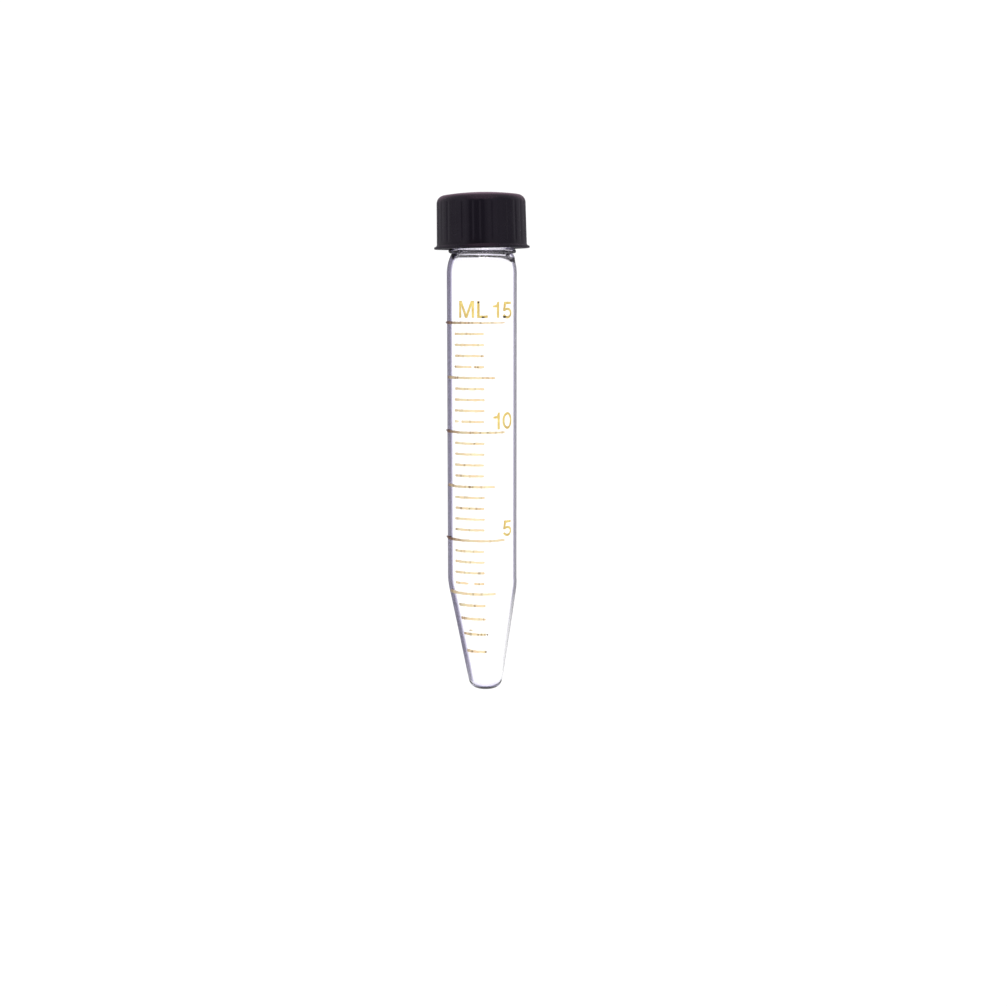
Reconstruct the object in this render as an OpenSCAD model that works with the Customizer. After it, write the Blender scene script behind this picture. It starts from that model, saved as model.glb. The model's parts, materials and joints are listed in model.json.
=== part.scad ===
// Graduated conical glass tube with a screw cap, lying on its side as it rests.
//
// Every piece is drawn upright first: the axis is Z, the tip stands on Z = 0, the cap is on top
// and the printed scale faces -Y. The module lying() then lays the whole tube down, with the cap
// at +Y and the scale up. There it touches the ground with the lip of the cap and with the lower
// end of the cylinder, so its axis leans a little. The origin is the centre of its footprint.

/* [Glass body] */
// Outside diameter of the cylinder
tube_d = 17; // [16:0.1:19]
// Wall thickness of the cylinder and of the cone
wall = 0.8; // [0.6:0.1:1.2]
// How far the bore lies off the axis, as drawn glass does: the wall is thinner under the scale
bore_offset = 0.2; // [0:0.05:0.25]
// Length of the glass, from tip to rim
glass_l = 118.9; // [110:0.1:130]
// Height of the cone
cone_l = 26.5; // [20:0.1:32]
// Diameter that the cone would have at its very end, before its edge is rounded
tip_d = 7.6; // [7:0.1:9]
// Radius of the edge round the tip
tip_round = 2.6; // [1:0.1:2.8]
// Thickness of the glass at the bottom
floor_t = 1.1; // [0.8:0.1:2]
// Radius of the corner inside the tip, between its wall and its floor
bore_round = 1.8; // [1:0.1:2.2]
// Radius that blends the cone into the cylinder
cone_blend = 16; // [6:1:24]

/* [Neck] */
// How far the shoulder draws the glass in, from the cylinder to the neck
shoulder_in = 1.45; // [1.2:0.05:2]
// Wall thickness of the neck, between its threads
neck_wall = 1.25; // [1:0.05:1.4]
// Length of the neck, from the shoulder to the rim
neck_l = 10.4; // [9.8:0.1:11.5]
// Length of the shoulder that leads from the cylinder to the neck
shoulder_l = 6; // [4:0.1:8]
// Radius of the fire-polished rim
rim_round = 0.45; // [0.2:0.05:0.48]
// Width of the bead at the foot of the neck
bead_w = 1.1; // [0.9:0.1:1.5]
// How far the bead stands out of the neck
bead_h = 1.1; // [0.7:0.1:1.3]

/* [Screw thread] */
// Rise of the thread in one turn
pitch = 3; // [2.8:0.1:3.2]
// Turns of thread on the neck
neck_turns = 2.5; // [2:0.25:2.5]
// Turns of thread in the cap
cap_turns = 1.25; // [1:0.25:1.75]
// Height of the thread on the neck
thread_h = 1.15; // [1:0.05:1.25]
// Distance from the rim down to the middle of the upper end of the thread
thread_start = 1.8; // [1.5:0.1:2]
// Distance from the lower end of the cap up to the middle of its thread's lower end
cap_thread_start = 1.5; // [1.2:0.1:2]
// Gap between the crest of the neck's thread and the wall of the cap
crest_gap = 0.5; // [0.35:0.05:0.7]
// Gap between the crest of the cap's thread and the neck
root_gap = 0.55; // [0.4:0.05:0.7]
// Gap along the axis between the flanks that hold the cap down
flank_gap = 0.25; // [0.15:0.05:0.4]

/* [Cap] */
// Thickness of the fluted wall
cap_wall = 2.2; // [1.9:0.05:2.6]
// Thickness of the top, on the axis
cap_top_t = 1.6; // [1.2:0.1:2]
// How far the cap reaches past the neck, over the shoulder
cap_reach = 0.2; // [0:0.1:0.3]
// How much narrower the cap is at its top
cap_draft = 0.3; // [0:0.1:0.8]
// Radius of the top edge
cap_round = 2; // [1.2:0.1:2.4]
// Rise of the domed top
dome_rise = 0.45; // [0.1:0.05:0.5]
// Number of flutes round the wall
flutes = 30; // [24:1:31]
// Depth of a flute
flute_depth = 0.15; // [0.1:0.01:0.2]
// Radius of the hollow of a flute
flute_r = 1.2; // [1:0.05:1.25]
// How far the lip at the lower end stands out of the wall
lip_out = 0.7; // [0.5:0.05:0.9]
// Height of the lip
lip_h = 1.25; // [1:0.05:1.6]
// Radius of the lower edge of the lip
lip_round = 0.25; // [0.15:0.05:0.4]
// Width and depth of the groove over the lip
lip_groove = 0.25; // [0.15:0.05:0.35]
// Distance from the groove up to the lower end of the flutes
flute_gap = 0.6; // [0.3:0.1:2]
// Width of the chamfer at the mouth of the cap's bore
cap_lead = 0.3; // [0.1:0.1:0.5]

/* [Liner] */
// Thickness of the sealing disc
liner_t = 1.5; // [1:0.1:2]
// Gap between the disc and the wall of the cap
liner_gap = 0.3; // [0.2:0.05:0.4]

/* [Printed scale] */
// Thickness of the printed enamel
ink_t = 0.06; // [0.04:0.01:0.1]
// Width of a graduation line, along the axis
line_w = 0.3; // [0.2:0.05:0.4]
// Height of the 5 ml line above the tip
five_z = 38.1; // [36:0.1:39]
// Distance between two lines on the cylinder
line_gap = 2.63; // [2.5:0.01:2.7]
// Distance between the first two lines on the cone
cone_gap = 2.95; // [2.7:0.05:3]
// Growth of that distance from each pair of lines to the next, down the cone
cone_gap_growth = 0.5; // [0.4:0.05:0.55]
// Direction of the middle of the lines, to the left of the front
scale_angle = -23; // [-40:1:0]
// Angle from the middle to the end of a short line
short_half_angle = 25.5; // [20:0.5:32]
// Angle from the middle to the end of a medium line
medium_half_angle = 44.5; // [40:0.5:55]
// Angle from the middle to the end of a long line
long_half_angle = 63.5; // [60:0.5:75]
// Height of the letters and digits
digit_h = 4.1; // [3.6:0.1:4.4]
// Width of a digit other than 1
digit_w = 3.1; // [2.8:0.1:3.5]
// Width of the digit 1
one_w = 1.7; // [1.4:0.05:2.2]
// Width of the letter L
l_w = 2.6; // [2.2:0.1:3]
// Width of the letter M
m_w = 4; // [3.6:0.1:4.4]
// Width of the strokes of the letters and digits
stroke = 0.5; // [0.35:0.05:0.6]
// Distance from a long line up to the digits over it
digit_gap = 0.9; // [0.7:0.1:1.4]
// Direction of the right-hand digit, to the right of the front
ones_angle = 46; // [44:0.5:52]
// Direction of the left-hand digit, to the right of the front
tens_angle = 23.5; // [21:0.5:26]
// Direction of the unit letter L
l_angle = 1; // [0:0.5:5]
// Direction of the unit letter M
m_angle = -26; // [-30:0.5:-24]

/* [Hidden] */
$fn = 96;
ARC_STEPS = 8;        // steps in an arc of an outline
OVAL_STEPS = 24;      // steps in the oval of a digit
THREAD_STEPS = 24;    // steps in one turn of a thread
FADE_STEPS = 3;       // steps over which a thread fades out at its ends
ROOT = 0.3;           // how far a thread is rooted in the wall that carries it
CUT = 1;              // how far a cutting body reaches past what it cuts
THREAD_FOOT = 1.9;    // width of the neck's thread at its root
THREAD_CREST = 0.7;   // width of the neck's thread at its crest
CAP_FOOT = 1.5;       // width of the cap's thread at its root
CAP_CREST = 0.6;      // width of the cap's thread at its crest
OUTER_TURN = 0.8;     // share of the shoulder that its outer arc takes
LINES = 30;           // lines of the scale
LINES_PER_ML = 2;     // one line for each half millilitre
MEDIUM_EVERY = 5;     // every fifth line is medium or long
LONG_EVERY = 10;      // every tenth line is long, with its number over it
PRINT_MARGIN = 2;     // degrees of enamel kept on both sides of a figure
BOWL_SHARE = 0.65;    // height of the bowl of a 5, as a share of the figure
BOWL_FROM = -160;     // direction of the lower end of that bowl
BOWL_TO = 140;        // direction of its upper end, under the flag

tube_r = tube_d / 2;
tip_r = tip_d / 2;
neck_r = tube_r - shoulder_in;
mouth_r = neck_r - neck_wall;
thread_r = neck_r + thread_h;
cap_bore_r = thread_r + crest_gap;
cap_thread_r = neck_r + root_gap;
cap_r = cap_bore_r + cap_wall;
cap_top_r = cap_r - cap_draft / 2;
lip_r = cap_r + lip_out;
liner_r = cap_bore_r - liner_gap;

neck_z = glass_l - neck_l;
shoulder_z = neck_z - shoulder_l;
liner_z = glass_l;
cap_in_z = liner_z + liner_t;
total_l = cap_in_z + cap_top_t;
cap_z = neck_z - cap_reach;
cap_h = total_l - cap_z;
wall_z = cap_z + lip_h + lip_groove;

// The cone leans by cone_a; each circle is placed so that it touches the lines that it joins
cone_a = atan((tube_r - tip_r) / cone_l);
tip_c = [tip_r - tip_round * (1 - sin(cone_a)) / cos(cone_a), tip_round];
blend_r = tube_r - cone_blend;
blend_c = [blend_r, ((blend_r - tip_r) * cos(cone_a) + cone_blend) / sin(cone_a)];
bore_c = [tip_r + ((floor_t + bore_round) * sin(cone_a) - wall - bore_round) / cos(cone_a),
          floor_t + bore_round];

// The domed top of the cap, and the circle that rounds its edge
dome_r = pow(cap_top_r - cap_round, 2) / (2 * dome_rise);
dome_a = acos((cap_top_r - cap_round) / (dome_r - cap_round));
edge_c = [cap_top_r - cap_round, total_l - dome_r + (dome_r - cap_round) * sin(dome_a)];
lip_c = [lip_r - lip_round, cap_z + lip_round];

// Threads: at any one direction the cap's runs this far below the neck's
neck_slope = (THREAD_FOOT - THREAD_CREST) / (thread_r - neck_r + ROOT);
neck_half = (THREAD_CREST + (thread_r - cap_thread_r) * neck_slope) / 2;
thread_drop = neck_half + CAP_CREST / 2 + flank_gap;
neck_thread_z = glass_l - thread_start - neck_turns * pitch;
cap_thread_z = cap_z + cap_thread_start;
cap_thread_a = (cap_thread_z + thread_drop - neck_thread_z) / pitch * 360;

function backwards(points) = [for (i = [len(points) - 1:-1:0]) points[i]];

// Points of an arc about c from angle a0 to angle a1, on a circle or an ellipse
function arc(c, r, a0, a1, n = ARC_STEPS) =
    [for (i = [0:n]) let (a = a0 + (a1 - a0) * i / n) c + [r * cos(a), r * sin(a)]];
function oval(c, rx, ry, a0, a1, n = OVAL_STEPS) =
    [for (i = [0:n]) let (a = a0 + (a1 - a0) * i / n) c + [rx * cos(a), ry * sin(a)]];

// Two arcs that lead from radius r0 at height z0 to the smaller radius r1 at height z1
function smooth_step(r0, z0, r1, z1) =
    let (a = 2 * atan((r0 - r1) / (z1 - z0)),
         both = (z1 - z0) / sin(a),
         ra = both * OUTER_TURN,
         rb = both - ra)
    concat(arc([r0 - ra, z0], ra, 0, a), arc([r1 + rb, z1], rb, 180 + a, 180));

// Outside of the glass as [radius, height], from the tip to the shoulder, grown by t
function skin(t = 0) = concat(
    arc(tip_c, tip_round + t, -90, -cone_a),
    arc(blend_c, cone_blend + t, -cone_a, 0),
    [[tube_r + t, shoulder_z]]);

outer_points = concat(
    [[0, 0]],
    skin(),
    smooth_step(tube_r, shoulder_z, neck_r, neck_z),
    arc([neck_r - rim_round, glass_l - rim_round], rim_round, 0, 90),
    [[0, glass_l]]);

// The bore, reaching out of the mouth where it cuts the rim
bore_points = concat(
    [[0, glass_l + CUT], [mouth_r + rim_round, glass_l + CUT]],
    arc([mouth_r + rim_round, glass_l - rim_round], rim_round, 90, 180),
    backwards(smooth_step(tube_r - wall, shoulder_z, mouth_r, neck_z)),
    arc(blend_c, cone_blend - wall, 0, -cone_a),
    arc(bore_c, bore_round, -cone_a, -90),
    [[0, floor_t]]);

cap_points = concat(
    [[0, cap_in_z], [cap_bore_r, cap_in_z]],
    [[cap_bore_r, cap_z + cap_lead], [cap_bore_r + cap_lead, cap_z]],
    arc(lip_c, lip_round, -90, 0),
    [[lip_r - lip_round, cap_z + lip_h], [cap_r - lip_groove, cap_z + lip_h]],
    [[cap_r - lip_groove, wall_z - lip_groove / 2], [cap_r, wall_z]],
    arc(edge_c, cap_round, 0, dome_a),
    arc([0, total_l - dome_r], dome_r, dome_a, 90));

// It lies on the lip of the cap and on the lower end of the cylinder
rest_span = norm(lip_c - blend_c);
rest_tilt = atan2(lip_c[0] - blend_c[0], lip_c[1] - blend_c[1])
            - asin((cone_blend - lip_round) / rest_span);
rest_z = blend_c[0] * cos(rest_tilt) - blend_c[1] * sin(rest_tilt) + cone_blend;
foot_low = min([for (p = outer_points) p[1] * cos(rest_tilt) - p[0] * sin(rest_tilt)]);
foot_high = max([for (p = cap_points) p[1] * cos(rest_tilt) + p[0] * sin(rest_tilt)]);
foot_y = (foot_low + foot_high) / 2;

module lying() {
    translate([0, -foot_y, rest_z]) rotate([rest_tilt - 90, 0, 0]) children();
}

// Helical ridge from a root radius to a crest radius, widths along the axis, fading at its ends
module ridge(root, crest, root_w, crest_w, z, turns) {
    steps = ceil(turns * THREAD_STEPS);
    rings = [for (i = [0:steps])
        let (a = i * 360 * turns / steps,
             h = z + pitch * a / 360,
             full = min(1, (i + 1) / FADE_STEPS, (steps - i + 1) / FADE_STEPS),
             r = root + (crest - root) * full,
             w = root_w + (crest_w - root_w) * full)
        for (p = [[root, -root_w], [r, -w], [r, w], [root, root_w]])
            [p[0] * cos(a), p[0] * sin(a), h + p[1] / 2]];
    inward = crest < root;
    side_faces = [for (i = [0:steps - 1], j = [0:3])
        let (k = (j + 1) % 4, p = 4 * i + j, q = 4 * i + k)
        each [[p, q, q + 4], [p, q + 4, p + 4]]];
    first_end = [[0, 3, 2], [0, 2, 1]];
    last_end = [for (f = [[0, 1, 2], [0, 2, 3]]) [for (v = f) v + 4 * steps]];
    faces = concat(side_faces, first_end, last_end);
    polyhedron(rings, inward ? [for (f = faces) backwards(f)] : faces);
}

module glass_tube() {
    color([0.86, 0.87, 0.92, 0.5]) difference() {
        union() {
            rotate_extrude() polygon(outer_points);
            rotate_extrude()
                translate([neck_r + bead_h - bead_w / 2, neck_z - bead_w / 2]) circle(d = bead_w);
            ridge(neck_r - ROOT, thread_r, THREAD_FOOT, THREAD_CREST, neck_thread_z, neck_turns);
        }
        translate([0, -bore_offset, 0]) rotate_extrude() polygon(bore_points);
    }
}

// A band of enamel on the glass between two heights, as wide as two directions from the front
module enamel(low, high, from, to) {
    rotate([0, 0, from - 90]) rotate_extrude(angle = to - from) intersection() {
        polygon(concat(skin(), backwards(skin(ink_t))));
        translate([0, low]) square([tube_d, high - low]);
    }
}

function line_z(n) =
    n >= MEDIUM_EVERY
        ? five_z + (n - LONG_EVERY) * line_gap
        : line_z(MEDIUM_EVERY) - (MEDIUM_EVERY - n) * cone_gap
          - cone_gap_growth * (MEDIUM_EVERY - n) * (MEDIUM_EVERY - n - 1) / 2;

module line(n) {
    half = n % LONG_EVERY == 0 ? long_half_angle
         : n % MEDIUM_EVERY == 0 ? medium_half_angle
         : short_half_angle;
    z = line_z(n);
    enamel(z - line_w / 2, z + line_w / 2, scale_angle - half, scale_angle + half);
}

// Letters and digits are drawn flat, with their lower edge at 0 and centred sideways
module letter_m(w, h) {
    s = stroke;
    translate([-w / 2, 0]) polygon([
        [0, 0], [0, h], [1.3 * s, h], [w / 2, 1.5 * s], [w - 1.3 * s, h], [w, h], [w, 0],
        [w - s, 0], [w - s, h - 1.8 * s], [(w + s) / 2, 0], [(w - s) / 2, 0], [s, h - 1.8 * s],
        [s, 0]]);
}

module letter_l(w, h) {
    translate([-w / 2, 0]) square([stroke, h]);
    translate([-w / 2, 0]) square([w, stroke]);
}

module digit_1(w, h) {
    s = stroke;
    translate([-w / 2, 0]) polygon([
        [w - s, 0], [w, 0], [w, h], [w - 0.7 * s, h], [w - 1.3 * s, h - 1.4 * s],
        [0, h - 1.7 * s], [0, h - 2.4 * s], [w - s, h - 2.4 * s]]);
}

module digit_5(w, h) {
    s = stroke;
    bowl_ry = BOWL_SHARE * h / 2;
    c = [0, bowl_ry];
    polygon(concat(oval(c, w / 2, bowl_ry, BOWL_FROM, BOWL_TO),
                   backwards(oval(c, w / 2 - s, bowl_ry - s, BOWL_FROM, BOWL_TO))));
    polygon([[-0.46 * w, 0.46 * h], [-0.34 * w, h], [0.42 * w, h], [0.42 * w, h - s],
             [s - 0.34 * w, h - s], [s - 0.44 * w, 0.5 * h]]);
}

module digit_0(w, h) {
    c = [0, h / 2];
    difference() {
        polygon(oval(c, w / 2, h / 2, 0, 360));
        polygon(oval(c, w / 2 - stroke, h / 2 - stroke, 0, 360));
    }
}

module digit(n) {
    if (n == 0) digit_0(digit_w, digit_h);
    if (n == 1) digit_1(one_w, digit_h);
    if (n == 5) digit_5(digit_w, digit_h);
}

// Prints a flat figure of width w on the glass, in a direction from the front
module printed(direction, w) {
    half = asin(w / tube_d) + PRINT_MARGIN;
    intersection() {
        enamel(five_z, shoulder_z, direction - half, direction + half);
        rotate([0, 0, direction]) rotate([90, 0, 0]) linear_extrude(tube_r + CUT) children();
    }
}

module number(ml, z) {
    printed(ones_angle, digit_w) translate([0, z]) digit(ml % 10);
    if (ml >= 10) printed(tens_angle, digit_w) translate([0, z]) digit(floor(ml / 10));
}

module unit_letters(z) {
    printed(m_angle, m_w) translate([0, z]) letter_m(m_w, digit_h);
    printed(l_angle, l_w) translate([0, z]) letter_l(l_w, digit_h);
}

module graduation_scale() {
    over_line = line_w / 2 + digit_gap;
    color([0.85, 0.62, 0.2]) {
        for (n = [1:LINES]) line(n);
        for (n = [LONG_EVERY:LONG_EVERY:LINES]) number(n / LINES_PER_ML, line_z(n) + over_line);
        unit_letters(line_z(LINES) + over_line);
    }
}

// One flute is a round bar that leans as the drafted wall does
module flute() {
    lean = atan((cap_r - cap_top_r) / (total_l - wall_z));
    translate([cap_r - flute_depth + flute_r, 0, wall_z + flute_gap]) rotate([0, -lean, 0])
        cylinder(r = flute_r, h = cap_h + CUT);
}

module screw_cap() {
    color([0.13, 0.12, 0.14]) {
        difference() {
            rotate_extrude() polygon(cap_points);
            for (i = [0:flutes - 1]) rotate([0, 0, 360 * (i + 0.5) / flutes]) flute();
        }
        rotate([0, 0, cap_thread_a])
            ridge(cap_bore_r + ROOT, cap_thread_r, CAP_FOOT, CAP_CREST, cap_thread_z, cap_turns);
    }
}

module cap_liner() {
    color([0.2, 0.2, 0.21]) translate([0, 0, liner_z]) cylinder(r = liner_r, h = liner_t);
}

lying() glass_tube();
lying() graduation_scale();
lying() screw_cap();
lying() cap_liner();
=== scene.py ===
import json
from math import acos, asin, atan, ceil, cos, degrees, pi, radians, sin, tan

import bpy
import numpy as np
from mathutils import Matrix, Vector, noise


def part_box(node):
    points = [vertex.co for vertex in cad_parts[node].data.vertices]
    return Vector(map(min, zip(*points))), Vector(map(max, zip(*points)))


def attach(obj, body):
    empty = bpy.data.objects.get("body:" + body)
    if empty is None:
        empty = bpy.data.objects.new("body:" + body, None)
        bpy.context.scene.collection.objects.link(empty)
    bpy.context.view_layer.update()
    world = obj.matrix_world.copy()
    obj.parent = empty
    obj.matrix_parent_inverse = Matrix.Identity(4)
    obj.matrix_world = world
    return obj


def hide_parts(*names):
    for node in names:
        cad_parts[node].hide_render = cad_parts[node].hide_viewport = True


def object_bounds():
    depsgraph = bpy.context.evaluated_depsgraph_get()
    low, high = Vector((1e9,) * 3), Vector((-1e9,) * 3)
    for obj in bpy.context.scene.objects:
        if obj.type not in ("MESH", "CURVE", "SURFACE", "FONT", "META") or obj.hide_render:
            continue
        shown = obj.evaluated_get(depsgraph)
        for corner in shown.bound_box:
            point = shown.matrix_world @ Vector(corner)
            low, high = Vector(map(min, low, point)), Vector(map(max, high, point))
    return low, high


# A graduated conical glass tube with an amber printed scale and a black screw cap. It lies on
# its side, on the lip of the cap and on the lower end of the cylinder.
#
# Every piece is modelled upright, with the tip of the tube at the origin and the printed scale
# towards -Y. lay_down() then puts it on its place in the frame. Sizes are in millimetres until
# they reach a mesh, and directions round the tube are in degrees to the right of the front.

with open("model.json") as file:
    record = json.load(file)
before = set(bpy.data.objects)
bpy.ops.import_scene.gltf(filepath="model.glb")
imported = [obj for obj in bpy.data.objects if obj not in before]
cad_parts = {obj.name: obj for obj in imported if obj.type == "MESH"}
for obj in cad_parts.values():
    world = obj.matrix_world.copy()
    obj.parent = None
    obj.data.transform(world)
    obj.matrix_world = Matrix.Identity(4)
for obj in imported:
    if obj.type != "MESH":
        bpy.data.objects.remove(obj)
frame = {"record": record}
cad_low, cad_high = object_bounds()

MM = 0.001

# ---------------------------------------------------------------- sizes


def width_of(node):
    """Width of a CAD node across the tube, in millimetres."""
    low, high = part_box(node)
    return (high.x - low.x) / MM


TUBE_R = width_of("glass_tube") / 2
LIP_R = width_of("screw_cap") / 2
LINER_R = width_of("cap_liner") / 2

# Glass
GLASS_L = 118.9         # from the tip to the rim
WALL = 0.8              # wall of the cylinder and of the cone
CONE_L = 26.5           # height of the cone
TIP_R = 3.8             # radius at the very end, before its edge is rounded
TIP_ROUND = 2.6         # radius of the edge round the tip
TIP_FLOOR = 1.1         # glass under the inside of the tip
BORE_ROUND = 1.8        # radius of the corner inside the tip
CONE_BLEND = 16.0       # radius that blends the cone into the cylinder
CONE_LEAN = 0.83        # how far the blown tip stands off the axis, to the right
NECK_R = 7.05           # outside of the neck between its threads
MOUTH_R = 5.8           # inside of the neck
NECK_L = 10.4           # from the foot of the neck to the rim
SHOULDER_L = 6.0        # from the cylinder to the foot of the neck
OUTER_TURN = 0.8        # share of the shoulder that its outer arc takes
RIM_ROUND = 0.45        # radius of the fire-polished rim
BEAD_OUT = 1.1          # how far the bead at the foot of the neck stands out
BEAD_W = 1.1            # its width along the axis
BEAD_SWELL = 0.16       # how much further it stands out where it is thickest
BEAD_THICK_ANGLE = 80   # direction in which it is thickest
RUN_ANGLE = 75.0        # direction in which the glass of the bead ran down
RUN_WIDE = 24.0         # half the width of that run, in degrees
RUN_L = 1.4             # its length
RUN_OUT = 0.35          # how far it stands out of the shoulder
BEAD_FROM, BEAD_TO = -76, 117   # directions between which the bead shows, in degrees
LEAN_SOFTNESS = 0.72    # 1 is a sharp bend at the foot of the cylinder

# Thread
PITCH = 3.0             # rise of the thread in one turn
NECK_TURNS = 2.5        # turns on the neck
THREAD_OUT = 1.15       # height of the neck's thread
THREAD_FOOT = 1.9       # its width at the root
THREAD_CREST = 0.7      # its width at the crest
THREAD_START = 1.8      # from the rim down to the middle of its upper end
FADE = 3 / 24           # turns over which a thread fades out at its ends

# Cap
CAP_Z = 108.5           # lower end of the cap
CAP_TOP = 122.0         # top of the dome
CAP_R = 10.9            # fluted wall, over the lip
CAP_DRAFT = 0.15        # how much narrower the wall is at its top, in radius
CAP_ROUND = 2.0         # radius of the top edge
CAP_BORE_R = 8.7        # inside of the wall
CAP_CEILING = 120.4     # underside of the top
DOME_RISE = 0.6         # rise of the domed top
LIP_H = 0.55            # height of the lip
LIP_ROUND = 0.25        # radius of its lower edge
FLARE = 0.6             # radius of the hollow in which the wall flares out to the lip
INNER_ROUND = 0.3       # radius of the corner under the top
CAP_SKEW = 1.0          # degrees by which the cap sits askew on its thread
SKEW_Z = 111.0          # height at which the skewed cap is still in the middle
CAP_LEAD = 0.3          # chamfer at the mouth of the cap's bore
FLUTES = 30             # flutes round the wall
FLUTE_DEPTH = 0.1       # depth of a flute
FLUTE_SHARE = 0.56      # share of its pitch that a flute takes up
FLUTE_RUN = 0.7         # length over which a flute runs out at its ends
FLUTE_GAP = 0.3         # from the flare up to the lower end of the flutes
CAP_TURNS = 1.25        # turns of thread in the cap
CAP_THREAD_R = 7.6      # crest of the cap's thread
CAP_THREAD_FOOT = 1.5   # its width at the root
CAP_THREAD_CREST = 0.6  # its width at the crest
CAP_THREAD_START = 1.5  # from the lower end of the cap to the middle of its thread's lower end
THREAD_DROP = 1.148     # how far the cap's thread runs below the neck's

# Liner
LINER_T = 1.5           # thickness of the sealing disc
LINER_EDGE = 0.2        # radius of its edges
LINER_DENT = 0.06       # depth of the ring that the rim has pressed into it
DENT_PAST = 0.3         # how far the ring reaches past the rim on both sides
DENT_STEPS = 12

# Printed scale
INK_T = 0.06            # thickness of the enamel
LINE_W = 0.58           # width of a line
LINE_WOBBLE = 0.05      # how far a line wanders up and down
PRINT_WOBBLE = 0.05     # how uneven the edges of the figures are
FIVE_Z = 38.2           # height of the 5 ml line
LINE_GAP = 2.63         # from line to line on the cylinder
CONE_GAP = 2.95         # from the first to the second line on the cone
CONE_GAP_GROWTH = 0.5   # growth of that distance from line to line, down the cone
SCALE_ANGLE = -23.0     # direction of the middle of the lines
SHORT_HALF = 27.0       # angle from the middle to the end of a short line
MEDIUM_HALF = 44.5
LONG_HALF = 63.5
OVERRUN = 7.0           # how much further a longer line ran round at its left end
CONE_LINE_WIDER = 1.15  # how much wider the lines on the cone are
STRAY_NARROWER = 0.6    # width of the stray dash, as a share of a line's
ENDS_WOBBLE = 1.5       # degrees by which the ends of the lines vary
LINES = 30
MEDIUM_EVERY = 5
LONG_EVERY = 10
FIGURE_H = 4.1          # height of letters and digits
STROKE = 0.6            # width of their strokes
ONES_ANGLE = 46.0       # direction of the right-hand digit
TENS_ANGLE = 23.5       # direction of the left-hand digit
L_ANGLE = 1.0           # direction of the letter L
M_ANGLE = -26.0         # direction of the letter M
DIGIT_W = 3.1
ONE_W = 1.7
L_W = 2.6
M_W = 4.0
FIVE_BOWL = 0.65        # height of the bowl of a 5, as a share of the figure

# Figures: what, over which line, direction, gap over the line, size, and how burnt
FIGURES = [("m", 30, M_ANGLE, 0.90, 0.99, 0.9), ("l", 30, L_ANGLE, 0.88, 0.98, 0.8),
           ("1", 30, TENS_ANGLE, 0.90, 0.94, 0.5), ("5", 30, ONES_ANGLE, 0.72, 0.98, 1.1),
           ("1", 20, TENS_ANGLE + 1, 0.47, 1.0, 0.5), ("0", 20, ONES_ANGLE, 0.47, 1.0, 0.8),
           ("5", 10, ONES_ANGLE, 0.60, 0.95, 0.9)]

# Where the enamel missed the glass: number of the line, and shares of its length
BREAKS = {6: [(0.50, 0.68)], 21: [(0.17, 0.27)], 26: [(0.62, 0.68)]}
STRAY = (15.7, -33.0, -25.0)    # height, start and end of a stray dash of enamel on the cone

# Flecks of over-fired enamel: direction, height over the tip, width and height
FLECKS = [(39.5, 92.2, 0.95, 0.55), (-5.5, 95.7, 0.5, 0.55), (1.8, 92.15, 0.75, 0.42)]
# Smaller ones on the lines: number of the line, direction and width
LINE_FLECKS = [(1, -33, 0.6), (1, 3, 0.5), (2, -13, 0.4), (2, -6, 0.5), (2, 1, 0.4), (2, 7, 0.5),
               (13, -21, 0.5), (15, -21.5, 0.4), (15, -15.5, 0.5), (17, -30, 0.5), (19, -12, 0.3),
               (20, -15, 0.35), (20, -3.3, 0.55), (20, 9.0, 0.55), (26, -6.5, 0.45), (30, -2, 0.4)]
FLECK_H = 0.38          # height of those on the lines
LINE_FLECK_BURNT = 0.3  # how burnt they are

# How burnt the left end of a line is, by its length: 0 is yellow, 1 is brown, and over 1 the
# enamel also gathered there
LINE_BURNT = {SHORT_HALF: 0.25, MEDIUM_HALF: 0.8, LONG_HALF: 1.8}
AFTER_BREAK_BURNT = 0.1     # the same past a break
CONE_BURNT = 0.6            # the least of it on the cone
STRAY_BURNT = 1.2
FADED = 0.2                 # how much a line thins towards its right end
TOP_FADED = 1.2             # the same for the topmost line

NECK_Z = GLASS_L - NECK_L
SHOULDER_Z = NECK_Z - SHOULDER_L
NECK_THREAD_Z = GLASS_L - THREAD_START - NECK_TURNS * PITCH
CAP_THREAD_Z = CAP_Z + CAP_THREAD_START
CAP_THREAD_A = 360 * (CAP_THREAD_Z + THREAD_DROP - NECK_THREAD_Z) / PITCH
CONE_A = atan((TUBE_R - TIP_R) / CONE_L)
BLEND_R = TUBE_R - CONE_BLEND
BLEND_Z = ((BLEND_R - TIP_R) * cos(CONE_A) + CONE_BLEND) / sin(CONE_A)
TIP_FLAT_R = TIP_R - TIP_ROUND * (1 - sin(CONE_A)) / cos(CONE_A)
FLOOR_Z = TIP_FLOOR + BORE_ROUND
FLOOR_R = TIP_R + (FLOOR_Z * sin(CONE_A) - WALL - BORE_ROUND) / cos(CONE_A)

# ---------------------------------------------------------------- place in the frame

MOUNTS = {m["name"]: m for m in frame["record"]["mounts"]}
TIP = Vector(MOUNTS["tip_end"]["pos_m"])
CAPWARD = -Vector(MOUNTS["tip_end"]["axis"]).normalized()
LEAN = asin(CAPWARD.z)
LAID = Matrix.Translation(TIP) @ Matrix.Rotation(LEAN - pi / 2, 4, "X")


def pick(piece):
    bpy.ops.object.select_all(action="DESELECT")
    piece.select_set(True)
    bpy.context.view_layer.objects.active = piece


def lay_down(piece):
    """Turns an upright piece down on its place in the frame, and applies that to its mesh."""
    pick(piece)
    piece.matrix_world = LAID
    bpy.ops.object.transform_apply(location=True, rotation=True, scale=True)
    return piece


# ---------------------------------------------------------------- outlines


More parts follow.
